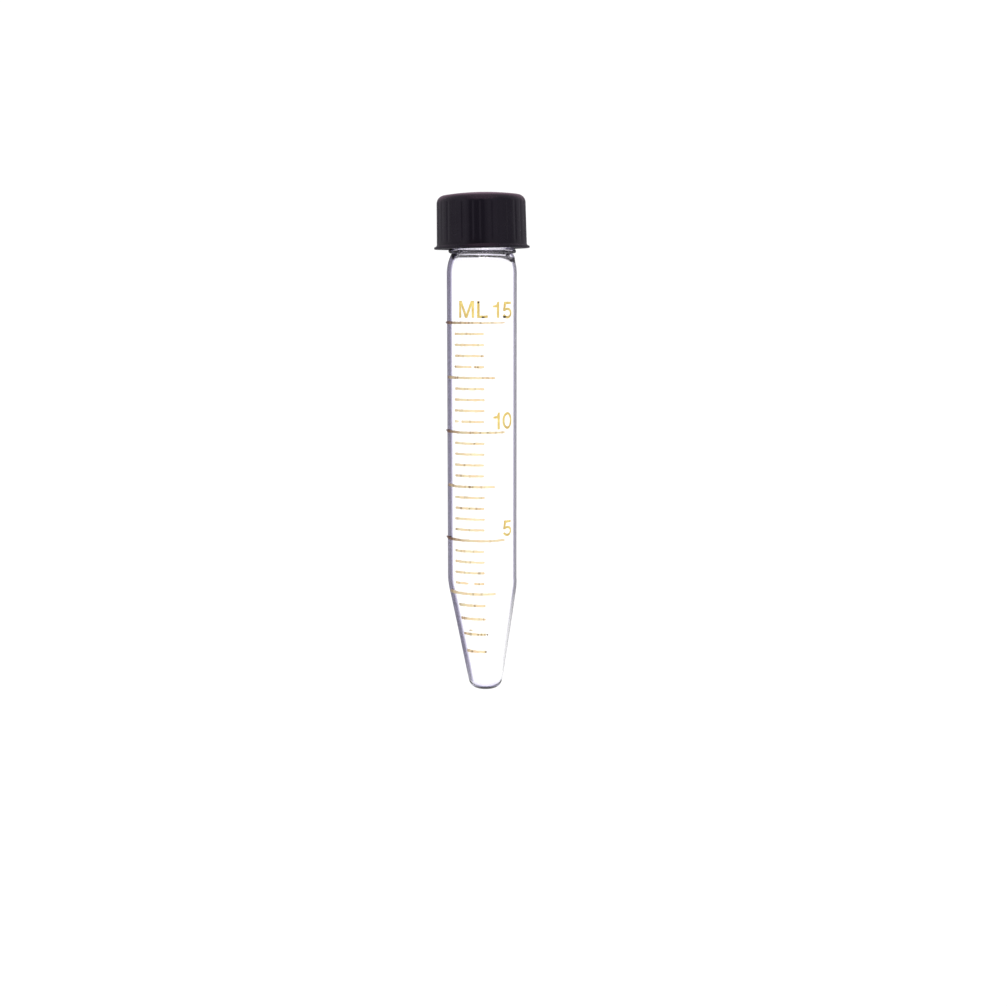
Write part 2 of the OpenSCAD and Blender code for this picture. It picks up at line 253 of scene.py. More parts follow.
def oval(centre, rx, rz, start, end, steps):
    """Points of an oval in the plane of an outline, with angles in degrees."""
    cx, cz = centre
    turns = [radians(start + (end - start) * i / steps) for i in range(steps + 1)]
    return [(cx + rx * cos(a), cz + rz * sin(a)) for a in turns]


def arc(centre, r, start, end, steps=12):
    return oval(centre, r, r, start, end, steps)


def straight(start, end, steps):
    """Points from start to end, without the two ends."""
    (ax, az), (bx, bz) = start, end
    return [(ax + (bx - ax) * i / steps, az + (bz - az) * i / steps) for i in range(1, steps)]


def smooth_step(r0, z0, r1, z1):
    """Two arcs that lead from radius r0 at height z0 to the smaller radius r1 at height z1."""
    turn = 2 * atan((r0 - r1) / (z1 - z0))
    both = (z1 - z0) / sin(turn)
    ra = both * OUTER_TURN
    rb = both - ra
    lower = arc((r0 - ra, z0), ra, 0, degrees(turn))
    upper = arc((r1 + rb, z1), rb, 180 + degrees(turn), 180)
    return lower + upper[1:]


def skin_radius(z):
    """Radius of the outside of the glass at height z, from the edge of the tip to the shoulder."""
    if z >= BLEND_Z:
        return TUBE_R
    if z >= BLEND_Z - CONE_BLEND * sin(CONE_A):
        return BLEND_R + (CONE_BLEND ** 2 - (BLEND_Z - z) ** 2) ** 0.5
    return TIP_R + z * tan(CONE_A)


# ---------------------------------------------------------------- modelling


def traced(name, points):
    """A line of edges through points (x, z): one vertex is extruded from point to point."""
    bpy.ops.object.select_all(action="DESELECT")
    bpy.ops.mesh.primitive_plane_add(size=MM)
    piece = bpy.context.object
    piece.name = piece.data.name = name
    bpy.ops.object.mode_set(mode="EDIT")
    bpy.ops.mesh.select_mode(type="VERT")
    bpy.ops.mesh.merge(type="CENTER")
    here = (0.0, 0.0)
    for i, (x, z) in enumerate(points):
        step = ((x - here[0]) * MM, 0, (z - here[1]) * MM)
        if i == 0:
            bpy.ops.transform.translate(value=step)
        else:
            bpy.ops.mesh.extrude_region_move(TRANSFORM_OT_translate={"value": step})
        here = (x, z)
    return piece


def mark(piece, values):
    """Keeps a number with each vertex, which the vertices made from it by a spin repeat."""
    bpy.ops.object.mode_set(mode="OBJECT")
    piece.data.attributes.new("mark", "FLOAT", "POINT").data.foreach_set("value", values)
    bpy.ops.object.mode_set(mode="EDIT")


def marks_of(piece):
    """The numbers kept with the vertices, which are taken off the mesh."""
    kept = piece.data.attributes["mark"]
    values = np.empty(len(piece.data.vertices))
    kept.data.foreach_get("value", values)
    piece.data.attributes.remove(kept)
    return values


def spun(name, points, steps, marked_from=None):
    """A closed solid of revolution: an outline that starts and ends on the axis is spun."""
    piece = traced(name, points)
    if marked_from is not None:
        mark(piece, [float(i >= marked_from) for i in range(len(points))])
    bpy.ops.mesh.select_all(action="SELECT")
    bpy.ops.mesh.spin(steps=steps, angle=2 * pi, center=(0, 0, 0), axis=(0, 0, 1))
    bpy.ops.mesh.select_all(action="SELECT")
    bpy.ops.mesh.remove_doubles(threshold=1e-6)
    bpy.ops.mesh.normals_make_consistent(inside=False)
    bpy.ops.object.mode_set(mode="OBJECT")
    bpy.ops.object.shade_smooth()
    return piece


def vertices(piece):
    found = np.empty(len(piece.data.vertices) * 3)
    piece.data.vertices.foreach_get("co", found)
    return found.reshape(-1, 3) / MM


def set_vertices(piece, places):
    piece.data.vertices.foreach_set("co", (places * MM).ravel())
    piece.data.update()


def join(pieces, name):
    """Joins pieces into one, under a new name."""
    bpy.ops.object.select_all(action="DESELECT")
    for piece in pieces:
        piece.select_set(True)
    bpy.context.view_layer.objects.active = pieces[0]
    bpy.ops.object.join()
    pieces[0].name = pieces[0].data.name = name
    return pieces[0]


def smooth(t):
    t = np.clip(t, 0, 1)
    return t * t * (3 - 2 * t)


def helix_height(turn, z, first_z, turns, foot, crest):
    """How high a thread stands, from 0 to 1, in a direction (in turns) and at a height."""
    height = np.zeros_like(z)
    for lap in range(ceil(turns) + 1):
        t = turn + lap
        off = np.abs(z - first_z - PITCH * t)
        flank = smooth((foot / 2 - off) / ((foot - crest) / 2))
        ends = np.clip(np.minimum(t, turns - t) / FADE + 1 / 3, 0, 1)
        height = np.maximum(height, flank * ends * (t >= 0) * (t <= turns))
    return height


def raise_thread(piece, chosen, amount, first_angle, first_z, turns, foot, crest):
    """Moves the chosen vertices out (or in, for a negative amount) along a helical ridge."""
    p = vertices(piece)
    r = np.hypot(p[:, 0], p[:, 1])
    turn = (np.arctan2(p[:, 1], p[:, 0]) / (2 * pi) - first_angle / 360) % 1
    lift = helix_height(turn, p[:, 2], first_z, turns, foot, crest) * chosen(r, p[:, 2])
    p[:, :2] *= (1 + amount * lift / np.maximum(r, TIP_R))[:, None]
    set_vertices(piece, p)


# ---------------------------------------------------------------- node materials


def new_material(name):
    made = bpy.data.materials.new(name)
    made.use_nodes = True
    made.node_tree.nodes.clear()
    return made, made.node_tree.nodes, made.node_tree.links


def tuned(node, **values):
    """Sets a node's inputs by name, with _ for a space."""
    for key, value in values.items():
        node.inputs[key.replace("_", " ")].default_value = value
    return node


def noise_node(nodes, scale, detail=2.0, roughness=0.5):
    made = nodes.new("ShaderNodeTexNoise")
    return tuned(made, Scale=scale, Detail=detail, Roughness=roughness)


def ramp_node(nodes, stops):
    """A colour ramp with (place, colour) stops; a plain number is a grey."""
    made = nodes.new("ShaderNodeValToRGB")
    ramp = made.color_ramp
    while len(ramp.elements) < len(stops):
        ramp.elements.new(0.5)
    for element, (place, colour) in zip(ramp.elements, stops):
        element.position = place
        grey = isinstance(colour, (int, float))
        element.color = (colour, colour, colour, 1) if grey else (*colour, 1)
    return made


def surface_marks():
    """Node group: faint smears and fine dust on a handled surface, as two masks and a height."""
    group = bpy.data.node_groups.new("surface marks", "ShaderNodeTree")
    ports = group.interface
    ports.new_socket("Vector", in_out="INPUT", socket_type="NodeSocketVector")
    for name, value in (("Smear Scale", 120.0), ("Grain Scale", 4000.0)):
        port = ports.new_socket(name, in_out="INPUT", socket_type="NodeSocketFloat")
        port.default_value = value
    for name in ("Smears", "Grain"):
        ports.new_socket(name, in_out="OUTPUT", socket_type="NodeSocketFloat")
    nodes, links = group.nodes, group.links
    inside, outside = nodes.new("NodeGroupInput"), nodes.new("NodeGroupOutput")
    smears = noise_node(nodes, 1, 4, 0.6)
    grain = noise_node(nodes, 1, 2, 0.5)
    clear = ramp_node(nodes, [(0.45, 0.0), (0.75, 1.0)])
    links.new(inside.outputs["Vector"], smears.inputs["Vector"])
    links.new(inside.outputs["Vector"], grain.inputs["Vector"])
    links.new(inside.outputs["Smear Scale"], smears.inputs["Scale"])
    links.new(inside.outputs["Grain Scale"], grain.inputs["Scale"])
    links.new(smears.outputs["Fac"], clear.inputs["Fac"])
    links.new(clear.outputs["Color"], outside.inputs["Smears"])
    links.new(grain.outputs["Fac"], outside.inputs["Grain"])
    return group


MARKS = surface_marks()


def marks_node(nodes, links, smear_scale, grain_scale):
    made = nodes.new("ShaderNodeGroup")
    made.node_tree = MARKS
    place = nodes.new("ShaderNodeTexCoord")
    links.new(place.outputs["Object"], made.inputs["Vector"])
    return tuned(made, Smear_Scale=smear_scale, Grain_Scale=grain_scale)


def mapped(nodes, links, source, low, high, to_low=0.0, to_high=1.0):
    """Maps the values from low to high onto those from to_low to to_high."""
    made = nodes.new("ShaderNodeMapRange")
    tuned(made, From_Min=low, From_Max=high, To_Min=to_low, To_Max=to_high)
    links.new(source, made.inputs["Value"])
    return made.outputs["Result"]


GLASS_IOR = 1.47
GLASS_SMEAR = 0.012     # roughness of the glass under a smear
SIDE_SPAN = 3.0         # half the width over which its left side passes into its right
CLEAR = (1.0, 1.0, 1.0)
# Painted shade of the glass, from where it is seen squarely to where it is seen edge on: it stands
# in for the dark surroundings that real glass shows at its edges
PAINTED_EDGE_SHADE = [(0.0, CLEAR), (0.25, (0.52, 0.49, 0.70)), (0.5, (0.13, 0.11, 0.21)),
         (0.83, (0.034, 0.029, 0.062))]
THICK = (0.86, 0.82, 0.94)
# Tint of the glass along the tube, from the tip to the rim: it is thick at both ends
TINTS = [(0.0, (0.82, 0.79, 0.96)), (0.014, (0.90, 0.88, 0.98)), (0.026, CLEAR), (0.885, CLEAR),
         (0.905, THICK)]
# Along the tube, on the left and on the right: how far aside the glass is seen where its painted
# edge shade starts (0 is squarely, 1 is edge on), over how much of that it darkens, and how
# strongly
# Left and right differ as painted shade, standing in for light that falls unevenly on the two
# sides.
BEGINS = ([(0.01, 0.25), (0.016, 0.28), (0.12, 0.38), (0.22, 0.45)],
          [(0.01, 0.25), (0.016, 0.5), (0.2, 0.53)])
SOFTNESS = [(0.01, 0.14), (0.016, 0.25), (0.15, 0.22), (0.22, 0.15)], [(0.01, 0.14), (0.2, 0.15)]
STRENGTHS = ([(0.009, 1.0), (0.0115, 0.3), (0.015, 0.3), (0.019, 1.0)],
             [(0.0115, 1.0), (0.0135, 0.3), (0.12, 0.45), (0.21, 0.95)])


def blended(nodes, links, factor, a, b):
    """Mixes two colours, each a socket or a colour, by a factor from 0 to 1."""
    made = nodes.new("ShaderNodeMix")
    made.data_type = "RGBA"
    links.new(factor, made.inputs["Factor"])
    for port, value in (("A", a), ("B", b)):
        if isinstance(value, tuple):
            made.inputs[port].default_value = (*value, 1)
        else:
            links.new(value, made.inputs[port])
    return made.outputs["Result"]


def multiplied(nodes, links, a, b):
    """Multiplies two colours."""
    made = nodes.new("ShaderNodeMix")
    made.data_type = "RGBA"
    made.blend_type = "MULTIPLY"
    made.inputs["Factor"].default_value = 1
    links.new(a, made.inputs["A"])
    links.new(b, made.inputs["B"])
    return made.outputs["Result"]


def absolute(nodes, links, value):
    made = nodes.new("ShaderNodeMath")
    made.operation = "ABSOLUTE"
    links.new(value, made.inputs[0])
    return made.outputs[0]


def combined(nodes, links, operation, a, b):
    made = nodes.new("ShaderNodeMath")
    made.operation = operation
    links.new(a, made.inputs[0])
    links.new(b, made.inputs[1])
    return made.outputs["Value"]


def grainy(nodes, links, marks, body, strength, depth):
    """Gives a surface the grain of its marks as a bump."""
    bump = nodes.new("ShaderNodeBump")
    tuned(bump, Strength=strength, Distance=depth * MM)
    links.new(marks.outputs["Grain"], bump.inputs["Height"])
    links.new(bump.outputs["Normal"], body.inputs["Normal"])


def put_out(nodes, links, shader):
    out = nodes.new("ShaderNodeOutputMaterial")
    links.new(shader, out.inputs["Surface"])


def glass_tint_and_painted_edges(nodes, links):
    """Colour of the glass: clear, tinted where it is thick at both ends of the tube, and with
    painted shade where it is seen edge on.
    """
    place = nodes.new("ShaderNodeTexCoord")
    split = nodes.new("ShaderNodeSeparateXYZ")
    links.new(place.outputs["Object"], split.inputs["Vector"])
    rim_y = (LAID @ Vector((0, 0, GLASS_L * MM))).y
    along = mapped(nodes, links, split.outputs["Y"], TIP.y, rim_y)
    side = mapped(nodes, links, split.outputs["X"], -SIDE_SPAN * MM, SIDE_SPAN * MM)

    def of_place(left_stops, right_stops):
        left, right = ramp_node(nodes, left_stops), ramp_node(nodes, right_stops)
        links.new(along, left.inputs["Fac"])
        links.new(along, right.inputs["Fac"])
        return blended(nodes, links, side, left.outputs["Color"], right.outputs["Color"])

    # Painted edge shade: the glass's colour darkens by how edge on it is seen, by place on the
    # tube.
    facing = nodes.new("ShaderNodeLayerWeight")
    facing.inputs["Blend"].default_value = 0.5
    over = combined(nodes, links, "SUBTRACT", facing.outputs["Facing"], of_place(*BEGINS))
    share = combined(nodes, links, "DIVIDE", over, of_place(*SOFTNESS))
    edge = ramp_node(nodes, PAINTED_EDGE_SHADE)
    links.new(share, edge.inputs["Fac"])
    dark = blended(nodes, links, of_place(*STRENGTHS), CLEAR, edge.outputs["Color"])
    tint = ramp_node(nodes, TINTS)
    links.new(along, tint.inputs["Fac"])
    return multiplied(nodes, links, dark, tint.outputs["Color"])


def glass_material(name, on_skin):
    """Clear glass. On the outside it has painted shade: a violet grey where it is seen edge on."""
    made, nodes, links = new_material(name)
    body = nodes.new("ShaderNodeBsdfPrincipled")
    tuned(body, Transmission_Weight=1.0, IOR=GLASS_IOR)
    if on_skin:
        links.new(glass_tint_and_painted_edges(nodes, links), body.inputs["Base Color"])
    else:
        tuned(body, Base_Color=(*CLEAR, 1))
    marks = marks_node(nodes, links, 90, 2500)
    links.new(mapped(nodes, links, marks.outputs["Smears"], 0, 1, 0, GLASS_SMEAR),
              body.inputs["Roughness"])
    through = nodes.new("ShaderNodeBsdfTransparent")
    through.inputs["Color"].default_value = (0.97, 0.97, 0.98, 1)
    path = nodes.new("ShaderNodeLightPath")
    mix = nodes.new("ShaderNodeMixShader")
    links.new(path.outputs["Is Shadow Ray"], mix.inputs["Fac"])
    links.new(body.outputs["BSDF"], mix.inputs[1])
    links.new(through.outputs["BSDF"], mix.inputs[2])
    put_out(nodes, links, mix.outputs["Shader"])
    return made


def enamel_material(name, thick, thin, over_fired):
    """Fired enamel in patches from thick to thin, with a darker colour where it was over-fired."""
    made, nodes, links = new_material(name)
    body = nodes.new("ShaderNodeBsdfPrincipled")
    place = nodes.new("ShaderNodeTexCoord")
    patches = noise_node(nodes, 520, 3, 0.6)
    links.new(place.outputs["Object"], patches.inputs["Vector"])
    amber = ramp_node(nodes, [(0.32, thick), (0.66, thin)])
    links.new(patches.outputs["Fac"], amber.inputs["Fac"])
    burnt = nodes.new("ShaderNodeAttribute")
    burnt.attribute_name = BURN
    links.new(blended(nodes, links, burnt.outputs["Fac"], amber.outputs["Color"], over_fired),
              body.inputs["Base Color"])
    marks = marks_node(nodes, links, 300, 6000)
    links.new(mapped(nodes, links, marks.outputs["Grain"], 0, 1, 0.3, 0.6),
              body.inputs["Roughness"])
    grainy(nodes, links, marks, body, 0.25, 0.02)
    put_out(nodes, links, body.outputs["BSDF"])
    return made


def plastic_material(name, low, high, roughness, grain_bump):
    """Moulded plastic with faint smears, a fine grain and a slight unevenness of its colour."""
    made, nodes, links = new_material(name)
    body = nodes.new("ShaderNodeBsdfPrincipled")
    marks = marks_node(nodes, links, 160, 5000)
    shade = ramp_node(nodes, [(0.0, low), (1.0, high)])
    links.new(marks.outputs["Smears"], shade.inputs["Fac"])
    links.new(shade.outputs["Color"], body.inputs["Base Color"])
    links.new(mapped(nodes, links, marks.outputs["Smears"], 0, 1, *roughness),
              body.inputs["Roughness"])
    grainy(nodes, links, marks, body, grain_bump, 0.01)
    put_out(nodes, links, body.outputs["BSDF"])
    return made


def dress(piece, *materials):
    piece.data.materials.clear()
    for one in materials:
        piece.data.materials.append(one)


# ---------------------------------------------------------------- the glass

SPIN_STEPS = 240
RING_GAP = 0.15         # height of the rings on the neck, fine enough for its thread


def bead_outline(shoulder):
    """The shoulder as far as the bead, then the bead itself up to the neck."""
    r = BEAD_W / 2
    centre = (NECK_R + BEAD_OUT - r, NECK_Z - r)
    below = [p for p in shoulder if p[1] < NECK_Z - BEAD_W]
    return below + arc(centre, r, BEAD_FROM, BEAD_TO, 20)


def outside_outline():
    """Outline of the outside of the glass, from the middle of the tip to the top of the rim."""
    cone_a = degrees(CONE_A)
    points = [(0, 0)] + straight((0, 0), (TIP_FLAT_R, 0), 4)
    points += arc((TIP_FLAT_R, TIP_ROUND), TIP_ROUND, -90, -cone_a, 14)
    blend = arc((BLEND_R, BLEND_Z), CONE_BLEND, -cone_a, 0, 16)
    points += straight(points[-1], blend[0], 10) + blend
    points += straight(blend[-1], (TUBE_R, SHOULDER_Z), 8)
    points += bead_outline(smooth_step(TUBE_R, SHOULDER_Z, NECK_R, NECK_Z))
    rim_z = GLASS_L - RIM_ROUND
    points += straight((NECK_R, NECK_Z), (NECK_R, rim_z), ceil((rim_z - NECK_Z) / RING_GAP))
    return points + arc((NECK_R - RIM_ROUND, rim_z), RIM_ROUND, 0, 90, 8)


def bore_outline():
    """Outline of the inside of the glass, from the top of the rim to the middle of the floor."""
    cone_a = degrees(CONE_A)
    rim_z = GLASS_L - RIM_ROUND
    points = arc((MOUTH_R + RIM_ROUND, rim_z), RIM_ROUND, 90, 180, 8)
    points += straight((MOUTH_R, rim_z), (MOUTH_R, NECK_Z), 10)
    points += smooth_step(TUBE_R - WALL, SHOULDER_Z, MOUTH_R, NECK_Z)[::-1]
    blend = arc((BLEND_R, BLEND_Z), CONE_BLEND - WALL, 0, -cone_a, 16)
    points += straight((TUBE_R - WALL, SHOULDER_Z), blend[0], 8) + blend
    corner = arc((FLOOR_R, FLOOR_Z), BORE_ROUND, -cone_a, -90, 12)
    points += straight(blend[-1], corner[0], 10) + corner
    return points + straight(corner[-1], (0, TIP_FLOOR), 4) + [(0, TIP_FLOOR)]


def lean_of(z):
    """How far to the right the blown cone stands off the axis at height z."""
    return CONE_LEAN * np.clip(1 - z / BLEND_Z, 0, 1) ** LEAN_SOFTNESS


def swell_bead(p):
    """The bead was pressed by hand: it is uneven, and ran down a little on its right side."""
    r = np.hypot(p[:, 0], p[:, 1])
    on_bead = (r > NECK_R) & (p[:, 2] > NECK_Z - BEAD_W) & (p[:, 2] < NECK_Z)
    turn = np.arctan2(p[:, 0], -p[:, 1])
    uneven = 0.5 * np.cos(turn - radians(BEAD_THICK_ANGLE)) + 0.25 * np.cos(5 * turn)
    uneven += 0.2 * np.cos(11 * turn + 2)
    reach = on_bead * np.clip((r - NECK_R) / BEAD_OUT, 0, 1)
    across = (np.degrees(turn) - RUN_ANGLE) / RUN_WIDE
    down = (p[:, 2] - NECK_Z + BEAD_W + RUN_L / 2) / RUN_L
    run = RUN_OUT * np.exp(-across ** 2 - (1.6 * down) ** 2) * (r > NECK_R - 0.01)
    p[:, :2] *= (1 + (BEAD_SWELL * reach * uneven + run) / r.clip(TIP_R))[:, None]


def make_glass(skin, bore):
    outside, inside = outside_outline(), bore_outline()
    piece = spun("glass_body", outside + inside, SPIN_STEPS, marked_from=len(outside))
    dress(piece, skin, bore)
    on_bore = marks_of(piece) > 0.5
    for face in piece.data.polygons:
        face.material_index = int(all(on_bore[v] for v in face.vertices))
    raise_thread(piece, lambda r, z: (r > NECK_R - 0.01) & (z > NECK_Z), THREAD_OUT, 0,
                 NECK_THREAD_Z, NECK_TURNS, THREAD_FOOT, THREAD_CREST)
    p = vertices(piece)
    swell_bead(p)
    p[:, 0] += lean_of(p[:, 2])
    set_vertices(piece, p)
    return lay_down(piece)


# ---------------------------------------------------------------- the printed scale

ARC_STEP = 1.5          # degrees between two rings of a printed line
END_DROP = 0.35         # how thick the enamel gathered at the left end of a long line, for
                        # each 1 that it is burnt beyond 1
END_DROP_L = 0.09       # share of the line over which it did
STRIP_W = 0.22          # width of the strips by which a figure is wrapped round the glass
BURN = "burn"           # attribute: 0 where the enamel is yellow, 1 where it is burnt brown


def line_height(n):
    """Height of line n: the 5 ml line is number 10 and the 2.5 ml line is number 5."""
    if n >= MEDIUM_EVERY:
        return FIVE_Z + (n - LONG_EVERY) * LINE_GAP
    steps = MEDIUM_EVERY - n
    growth = CONE_GAP_GROWTH * steps * (steps - 1) / 2
    return line_height(MEDIUM_EVERY) - steps * CONE_GAP - growth


def half_angle(n):
    if n % LONG_EVERY == 0:
        return LONG_HALF
    return MEDIUM_HALF if n % MEDIUM_EVERY == 0 else SHORT_HALF


def unevenness(x, y, z, scale):
    """Smooth noise between -1 and 1 at a place in millimetres."""
    return noise.noise(Vector((x, y, z)) * scale)


def burn_attribute(piece, values):
    made = piece.data.attributes.new(BURN, "FLOAT", "POINT")
    made.data.foreach_set("value", np.clip(values, 0, 1))


def printed_arc(name, z, start, end, width=LINE_W, burnt=1.0, faded=0.0):
    """A band of enamel from one direction to another: burnt at its left end, thin at its right."""
    bpy.ops.object.select_all(action="DESELECT")
    bpy.ops.mesh.primitive_plane_add(size=MM, rotation=(pi / 2, 0, 0))
    piece = bpy.context.object
    piece.name = piece.data.name = name
    bpy.ops.object.transform_apply(location=True, rotation=True, scale=True)
    bpy.ops.object.mode_set(mode="EDIT")
    bpy.ops.mesh.select_all(action="SELECT")
    bpy.ops.transform.resize(value=(INK_T, 1, width), center_override=(0, 0, 0))
    bpy.ops.transform.translate(value=((TUBE_R + INK_T / 2) * MM, 0, z * MM))
    steps = max(4, ceil((end - start) / ARC_STEP))
    bpy.ops.mesh.spin(steps=steps, angle=radians(start - end), center=(0, 0, 0), axis=(0, 0, 1))
    bpy.ops.mesh.select_all(action="SELECT")
    bpy.ops.mesh.remove_doubles(threshold=1e-7)
    bpy.ops.mesh.normals_make_consistent(inside=False)
    bpy.ops.object.mode_set(mode="OBJECT")
    p = vertices(piece)
    turn = np.degrees(np.arctan2(p[:, 1], p[:, 0]))
    share = np.clip(turn / (end - start), 0, 1)
    side = np.sign(p[:, 2] - z)
    out = np.hypot(p[:, 0], p[:, 1]) > TUBE_R + INK_T / 2
    heights, grow = np.empty(len(p)), np.empty(len(p))
    for i, t in enumerate(turn):
        heights[i] = unevenness(t, z * 7, 0, 0.11)
        grow[i] = unevenness(t, z * 7, 5 + side[i], 0.22)
    ends = np.sqrt(np.clip(np.minimum(share, 1 - share) * (end - start) / 1.6, 0.3, 1))
    if burnt > 1:
        ends *= np.clip(share / END_DROP_L, 0.45, 1)
    taper = (1 + 0.25 * min(burnt, 1) * (1 - share) ** 3 - 0.45 * faded * share ** 2) * ends
    low = z + LINE_WOBBLE * heights + side * width / 2 * taper * (1 + 0.3 * grow)
    r = np.array([skin_radius(v) for v in low])
    drop = max(burnt - 1, 0) * END_DROP * np.clip(1 - share / END_DROP_L, 0, 1) ** 2
    r = np.where(out, r + INK_T * (0.75 + 0.25 * taper) + drop, r)
    a = np.radians(start - 90 + turn)
    spot = np.array([unevenness(t, z * 3, 9, 0.5) for t in turn])
    burn_attribute(piece, burnt * (0.9 * (1 - share) ** 4 + 0.2 * (1 - share))
                   + 2.0 * np.clip(spot - 0.3, 0, 1))
    set_vertices(piece, np.column_stack((r * np.cos(a), r * np.sin(a), low)))
    return piece


def print_lines():
    """All lines of the scale, with the few breaks where the enamel missed the glass."""
    made = []
    for n in range(1, LINES + 1):
        half, z = half_angle(n), line_height(n)
        start = SCALE_ANGLE - half + ENDS_WOBBLE * unevenness(n, 0, 0, 0.9)
        if half > SHORT_HALF:
            start -= OVERRUN
        end = SCALE_ANGLE + half + ENDS_WOBBLE * unevenness(n, 3, 0, 0.9)
        gaps = sorted(BREAKS.get(n, []))
        cuts = [0.0] + [edge for gap in gaps for edge in gap] + [1.0]
        for i, (a, b) in enumerate(zip(cuts[::2], cuts[1::2])):
            burnt = AFTER_BREAK_BURNT if i else LINE_BURNT[half]
            if n <= MEDIUM_EVERY:
                burnt = max(burnt, CONE_BURNT)
            width = LINE_W * (CONE_LINE_WIDER if n <= MEDIUM_EVERY else 1.0)
            faded = TOP_FADED if n == LINES else FADED
            made.append(printed_arc(f"line_{n}_{i}", z, start + (end - start) * a,
                                    start + (end - start) * b, width, burnt, faded))
    z, start, end = STRAY
    made.append(printed_arc("line_stray", z, start, end, LINE_W * STRAY_NARROWER, STRAY_BURNT))
    return made


def letter_m(w, h):
    s = STROKE
    return [(0, 0), (0, h), (1.3 * s, h), (w / 2, 1.5 * s), (w - 1.3 * s, h), (w, h), (w, 0),
            (w - s, 0), (w - s, h - 1.8 * s), ((w + s) / 2, 0), ((w - s) / 2, 0),
            (s, h - 1.8 * s), (s, 0)]


def letter_l(w, h):
    return [(0, 0), (0, h), (STROKE, h), (STROKE, STROKE), (w, STROKE), (w, 0)]


def digit_1(w, h):
    s = STROKE
    return [(w - s, 0), (w - s, h - 2.4 * s), (0, h - 2.4 * s), (0, h - 1.7 * s),
            (w - 1.3 * s, h - 1.4 * s), (w - 0.7 * s, h), (w, h), (w, 0)]


def digit_5(w, h):
    s, bowl = STROKE, FIVE_BOWL * h / 2
    centre = (w / 2, bowl)
    inner = oval(centre, w / 2 - s, bowl - s, 145, -160, 28)
    outer = oval(centre, w / 2, bowl, -160, 118, 28)
    flag = [(0.92 * w, h - s), (0.92 * w, h), (0.16 * w, h), (0.04 * w, 0.46 * h)]
    return flag + inner + outer + [(s + 0.16 * w, h - s)]


def filled(name, points):
    """A flat figure: its outline is traced, closed and filled."""
    piece = traced(name, points)
    bpy.ops.mesh.select_all(action="SELECT")
    bpy.ops.mesh.edge_face_add()
    return piece


def ring_0(name, w, h):
    """The flat digit 0: two ovals, bridged."""
    middle = (w / 2, h / 2)
    outer = oval(middle, w / 2, h / 2, 0, 351, 39)
    inner = oval(middle, w / 2 - STROKE, h / 2 - STROKE, 0, 351, 39)
    pieces = []
    for part, points in (("_out", outer), ("_in", inner)):
        one = traced(name + part, points)
        bpy.ops.mesh.select_all(action="SELECT")
        bpy.ops.mesh.edge_face_add()
        bpy.ops.mesh.delete(type="ONLY_FACE")
        bpy.ops.object.mode_set(mode="OBJECT")
        pieces.append(one)
    piece = join(pieces, name)
    bpy.ops.object.mode_set(mode="EDIT")
    bpy.ops.mesh.select_all(action="SELECT")
    bpy.ops.mesh.bridge_edge_loops()
    return piece


def print_figure(piece, w, direction, z, burnt, size=1.0):
    """Cuts a flat figure into strips, wraps it round the glass and gives it its thickness."""
    for i in range(1, ceil(w / STRIP_W)):
        bpy.ops.mesh.select_all(action="SELECT")
        bpy.ops.mesh.bisect(plane_co=(i * STRIP_W * MM, 0, 0), plane_no=(1, 0, 0))
    bpy.ops.mesh.select_all(action="SELECT")
    bpy.ops.mesh.normals_make_consistent(inside=False)
    bpy.ops.object.mode_set(mode="OBJECT")
    if piece.data.polygons[0].normal.y > 0:
        piece.data.flip_normals()
    p = vertices(piece)
    for row in p:
        shift = Vector((row[0], 0, row[2])) + Vector((direction, 0, 0))
        row[0] += PRINT_WOBBLE * unevenness(*shift, 1.3)
        row[2] += PRINT_WOBBLE * unevenness(shift.x, 4, shift.z, 1.3)
    flat = (p[:, 0] - w / 2) * size
    a = np.radians(direction - 90) + np.arcsin(flat / TUBE_R)
    height = z + p[:, 2] * size
    low = 1 - np.clip(p[:, 2] / FIGURE_H, 0, 1)
    spots = np.array([unevenness(x, direction, h, 0.9) for x, h in zip(p[:, 0], p[:, 2])])
    burn_attribute(piece, burnt * (0.05 + 0.15 * low + 0.4 * spots))
    set_vertices(piece, np.column_stack((TUBE_R * np.cos(a), TUBE_R * np.sin(a), height)))
    pick(piece)
    wall = piece.modifiers.new("thickness", "SOLIDIFY")
    wall.thickness = INK_T * MM
    wall.offset = 1
    bpy.ops.object.modifier_apply(modifier=wall.name)
    return piece


def print_figures():
    """The numbers 15, 10 and 5 over their long lines, and the unit letters."""
    outlines = {"m": (letter_m, M_W), "l": (letter_l, L_W), "1": (digit_1, ONE_W),
                "5": (digit_5, DIGIT_W)}
    made = []
    for kind, row, direction, gap, size, burnt in FIGURES:
        z = line_height(row) + LINE_W / 2 + gap
        name = f"figure_{kind}_{row}"
        if kind == "0":
            flat, w = ring_0(name, DIGIT_W, FIGURE_H), DIGIT_W
        else:
            outline, w = outlines[kind]
            flat = filled(name, outline(w, FIGURE_H))
        made.append(print_figure(flat, w, direction, z, burnt, size))
    return made


